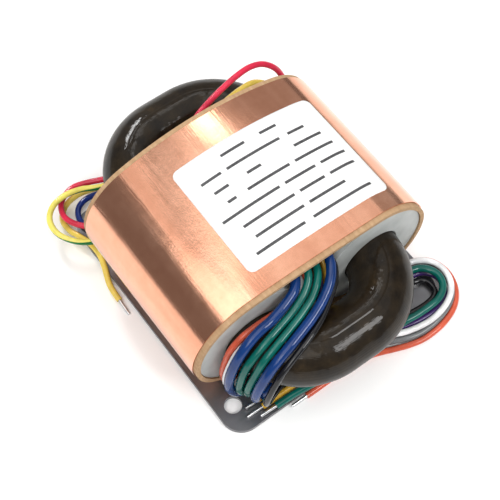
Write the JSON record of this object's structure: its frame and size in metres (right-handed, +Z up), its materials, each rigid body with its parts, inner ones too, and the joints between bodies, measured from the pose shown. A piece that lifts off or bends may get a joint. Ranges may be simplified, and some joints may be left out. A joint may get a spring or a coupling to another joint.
{
  "type": "r-core transformer",
  "caption": "R-core power transformer: a round-section ring core with a coil on each leg, a copper flux band with a label, a steel base plate and insulated leads.",
  "frame": {"origin": "middle of the base plate's underside", "axes": "+Z up out of the plate, +Y along the core's long legs towards the primary leads, +X across the two coils"},
  "size_m": [0.087, 0.1006, 0.0428],
  "materials": {
    "core": "black varnish over wound steel strip",
    "bobbin": "moulded, satin",
    "magnet_wire": "enamelled copper",
    "tape": "polyester film",
    "foil": "thin copper foil",
    "fibre_paper": "fibre paper",
    "copper": "polished copper sheet",
    "label": "coated paper",
    "steel": "zinc plated, dull",
    "packing": "cloth tape packing",
    "tinned": "solder tinned",
    "wire_blue": "extruded insulation",
    "wire_green": "extruded insulation",
    "wire_black": "extruded insulation",
    "wire_white": "extruded insulation",
    "wire_orange": "extruded insulation",
    "wire_violet": "extruded insulation",
    "wire_grey": "extruded insulation",
    "wire_yellow": "extruded insulation",
    "wire_red": "extruded insulation",
    "wire_yellow_green": "extruded insulation",
    "wire_dark_blue": "extruded insulation",
    "wire_brown": "extruded insulation"
  },
  "bodies": {
    "root": {"core": "core", "bobbin_left_upper": "bobbin", "bobbin_left_lower": "bobbin", "primary_winding_left": "magnet_wire", "layer_tape_left": "tape", "screen_foil_left": "foil", "secondary_winding_left": "magnet_wire", "outer_tape_left": "tape", "bobbin_right_upper": "bobbin", "bobbin_right_lower": "bobbin", "primary_winding_right": "magnet_wire", "layer_tape_right": "tape", "screen_foil_right": "foil", "secondary_winding_right": "magnet_wire", "outer_tape_right": "tape", "paper_sleeve": "fibre_paper", "copper_band": "copper", "label": "label", "base_plate": "steel", "splice_packing_front": "packing", "splice_packing_rear": "packing", "lead_blue_left": "wire_blue", "lead_blue_right": "wire_blue", "lead_green_upper": "wire_green", "lead_green_lower": "wire_green", "lead_black": "wire_black", "lead_white": "wire_white", "lead_orange": "wire_orange", "lead_violet": "wire_violet", "lead_grey": "wire_grey", "lead_yellow": "wire_yellow", "lead_red": "wire_red", "lead_yellow_green": "wire_yellow_green", "lead_primary_yellow": "wire_yellow", "lead_primary_blue": "wire_dark_blue", "lead_brown": "wire_brown", "tinned_ends": "tinned"}
  },
  "joints": []
}
